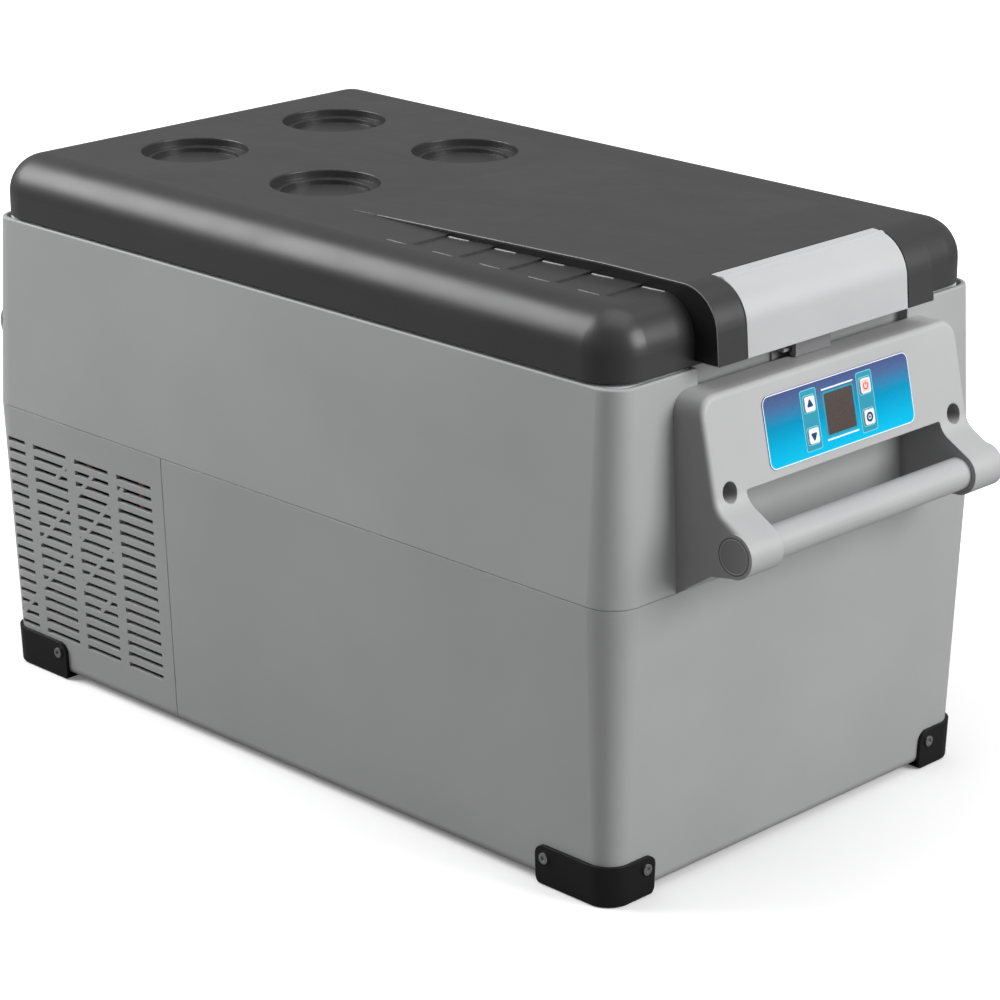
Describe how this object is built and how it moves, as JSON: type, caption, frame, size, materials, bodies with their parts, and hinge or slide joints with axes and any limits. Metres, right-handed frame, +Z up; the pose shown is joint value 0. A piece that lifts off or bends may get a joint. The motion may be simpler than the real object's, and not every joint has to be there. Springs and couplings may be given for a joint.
{
  "type": "portable compressor cooler",
  "caption": "Portable compressor fridge: tapered grey tub on corner feet, dark hinged lid with drink recesses and latch, carrying bars at both ends and a control panel.",
  "frame": {"origin": "middle of the footprint, on the surface the feet stand on", "axes": "+Z up, +X towards the end with the control panel and latch, +Y towards the left long side seen from behind the panel"},
  "size_m": [0.6504, 0.32, 0.346],
  "materials": {
    "shell_grey": "fine moulded grain",
    "bracket_grey": "fine moulded grain",
    "cap_grey": "smooth moulded end cap",
    "lid_grey": "fine moulded grain, satin",
    "latch_silver": "satin painted silver",
    "liner_white": "smooth moulded",
    "foam": "rigid polyurethane foam",
    "aluminium_sheet": "mill finish",
    "gasket_rubber": "soft matt",
    "black_enamel": "semi gloss enamel",
    "zinc_steel": "zinc plated",
    "screw_steel": "blackened steel",
    "copper": "drawn copper",
    "overlay_film": "printed film",
    "display_glass": "tinted window",
    "board_green": "solder mask",
    "lamp_lens": "frosted lens",
    "key_white": "smooth",
    "foot_black": "soft moulded corner",
    "black_plastic": "moulded"
  },
  "bodies": {
    "cabinet": {"base_tray": "zinc_steel", "compressor": "black_enamel", "compressor_bay_divider": "zinc_steel", "compressor_cover": "shell_grey", "compressor_grommets": "gasket_rubber", "compressor_terminal_cover": "black_plastic", "condenser": "aluminium_sheet", "control_board": "board_green", "control_overlay": "overlay_film", "controller_housing": "black_plastic", "display_module": "display_glass", "evaporator": "aluminium_sheet", "fan_frame": "black_plastic", "fan_shroud": "black_plastic", "filter_drier": "copper", "foot_front_left": "foot_black", "foot_front_right": "foot_black", "foot_rear_left": "foot_black", "foot_rear_right": "foot_black", "foot_screws": "screw_steel", "front_handle_bar": "bracket_grey", "front_handle_bracket": "bracket_grey", "front_handle_caps": "cap_grey", "front_handle_screws": "screw_steel", "fuse_cap": "black_plastic", "hinge_bracket": "zinc_steel", "hinge_pin": "zinc_steel", "inner_liner": "liner_white", "insulation_foam": "foam", "interior_light": "lamp_lens", "latch_striker": "shell_grey", "lower_shell": "shell_grey", "power_inlet_pins": "copper", "power_socket": "black_plastic", "rear_handle_bar": "bracket_grey", "rear_handle_bracket": "bracket_grey", "rear_handle_caps": "cap_grey", "rear_handle_screws": "screw_steel", "refrigerant_tubes": "copper", "upper_shell": "shell_grey"},
    "lid": {"lid_shell": "lid_grey", "lid_liner": "liner_white", "lid_foam": "foam", "lid_gasket": "gasket_rubber", "hinge_leaf": "zinc_steel", "latch_pin": "zinc_steel"},
    "latch": {"latch_flap": "latch_silver"},
    "fan": {"fan_rotor": "black_plastic"},
    "up_key": {"up_button": "key_white"},
    "down_key": {"down_button": "key_white"},
    "power_key": {"power_button": "key_white"},
    "set_key": {"set_button": "key_white"}
  },
  "joints": [
    {"name": "lid_hinge", "type": "hinge", "parent": "cabinet", "child": "lid", "pos_m": [-0.2665, 0, 0.3065], "axis": [0, -1, 0], "range_deg": [0, 95]},
    {"name": "latch_pivot", "type": "hinge", "parent": "lid", "child": "latch", "pos_m": [0.263, 0, 0.343], "axis": [0, -1, 0], "range_deg": [0, 25], "stiffness_Nm_per_rad": 0.06, "springref_deg": -17.19},
    {"name": "fan_spin", "type": "hinge", "parent": "cabinet", "child": "fan", "pos_m": [-0.18, -0.104, 0.075], "axis": [0, 1, 0], "continuous": true},
    {"name": "up_press", "type": "slide", "parent": "cabinet", "child": "up_key", "axis": [-0.9756, 0, -0.2197], "range_m": [0, 0.0005], "stiffness_N_per_m": 600, "springref_m": -0.0005},
    {"name": "down_press", "type": "slide", "parent": "cabinet", "child": "down_key", "axis": [-0.9756, 0, -0.2197], "range_m": [0, 0.0005], "stiffness_N_per_m": 600, "springref_m": -0.0005},
    {"name": "power_press", "type": "slide", "parent": "cabinet", "child": "power_key", "axis": [-0.9756, 0, -0.2197], "range_m": [0, 0.0005], "stiffness_N_per_m": 600, "springref_m": -0.0005},
    {"name": "set_press", "type": "slide", "parent": "cabinet", "child": "set_key", "axis": [-0.9756, 0, -0.2197], "range_m": [0, 0.0005], "stiffness_N_per_m": 600, "springref_m": -0.0005}
  ]
}
